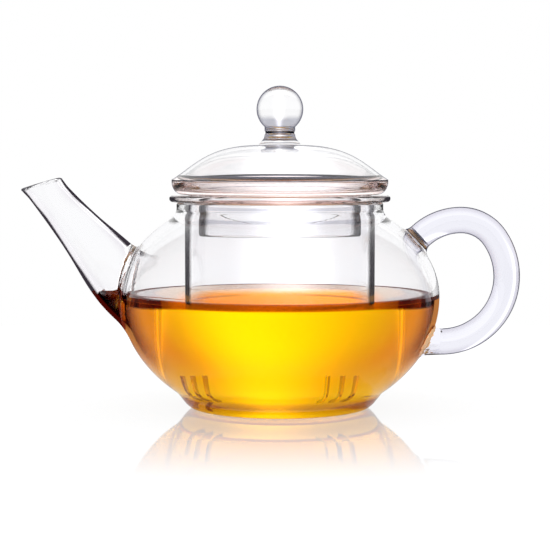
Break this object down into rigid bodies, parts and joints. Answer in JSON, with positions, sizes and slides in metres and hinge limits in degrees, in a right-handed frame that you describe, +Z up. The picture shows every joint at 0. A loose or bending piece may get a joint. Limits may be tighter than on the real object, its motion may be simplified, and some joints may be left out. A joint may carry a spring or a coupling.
{
  "type": "glass teapot with infuser",
  "caption": "Squat clear glass teapot with a slanted spout, a bent rod handle, a lift-out glass infuser with sawn slits and a domed lid with a ball knob.",
  "frame": {"origin": "centre of the flat foot, on the axis of the bowl, infuser and lid", "axes": "+Z up along the bowl's axis, -X towards the spout, +X towards the handle"},
  "size_m": [0.1537, 0.098, 0.0988],
  "materials": {
    "clear_glass": "clear, fire-polished borosilicate glass",
    "tea": "clear amber tea"
  },
  "bodies": {
    "pot": {"pot_bowl": "clear_glass", "pot_shoulder": "clear_glass", "pot_spout": "clear_glass", "pot_handle": "clear_glass"},
    "infuser": {"infuser_tube": "clear_glass", "infuser_base": "clear_glass", "infuser_flange": "clear_glass"},
    "lid": {"lid_dome": "clear_glass", "lid_skirt": "clear_glass", "lid_knob_stem": "clear_glass", "lid_knob_ball": "clear_glass"}
  },
  "joints": [
    {"name": "infuser_lift", "type": "slide", "parent": "pot", "child": "infuser", "axis": [0, 0, 1], "range_m": [0, 0.075]},
    {"name": "lid_lift", "type": "slide", "parent": "infuser", "child": "lid", "axis": [0, 0, 1], "range_m": [0, 0.04]}
  ]
}
